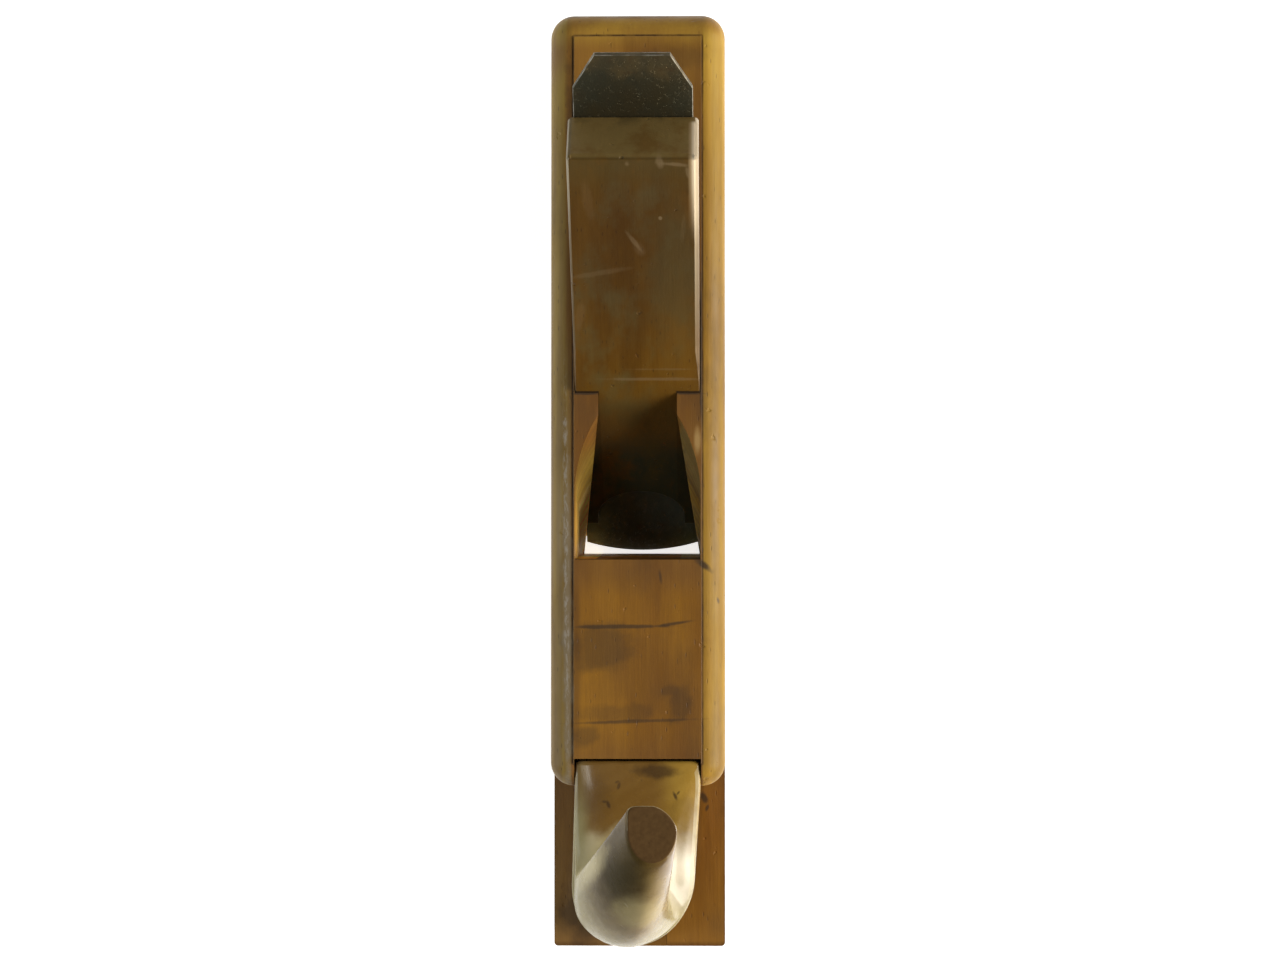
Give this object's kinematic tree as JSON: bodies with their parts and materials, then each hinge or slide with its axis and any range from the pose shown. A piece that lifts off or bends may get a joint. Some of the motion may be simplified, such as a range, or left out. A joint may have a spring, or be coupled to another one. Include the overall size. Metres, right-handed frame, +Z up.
{
  "type": "wooden hand plane",
  "caption": "Horned wooden scrub plane: long stock with an open throat, a cambered iron on a 45 degree bed, an arched wedge under abutments and a leaning front horn.",
  "frame": {"origin": "middle of the sole, on the sole face", "axes": "+X to the side that the horn leans to, +Y along the stock from toe to heel, +Z up from the sole"},
  "size_m": [0.0446, 0.24, 0.1176],
  "materials": {
    "stock_beech": "old oiled beech, worn and stained",
    "horn_beech": "beech polished by the hand",
    "wedge_beech": "dark glossy old finish",
    "wrought_iron": "dark patina",
    "tool_steel": "ground, dark patina, bright edge"
  },
  "bodies": {
    "stock": {"stock": "stock_beech", "horn": "horn_beech"},
    "wedge": {"wedge": "wedge_beech"},
    "iron": {"iron_body": "wrought_iron", "iron_steel": "tool_steel"}
  },
  "joints": [
    {"name": "wedge_slide", "type": "slide", "parent": "stock", "child": "wedge", "axis": [0, 0.7071, 0.7071], "range_m": [0, 0.09]},
    {"name": "iron_slide", "type": "slide", "parent": "stock", "child": "iron", "axis": [0, 0.7071, 0.7071], "range_m": [-0.001, 0.1]}
  ]
}
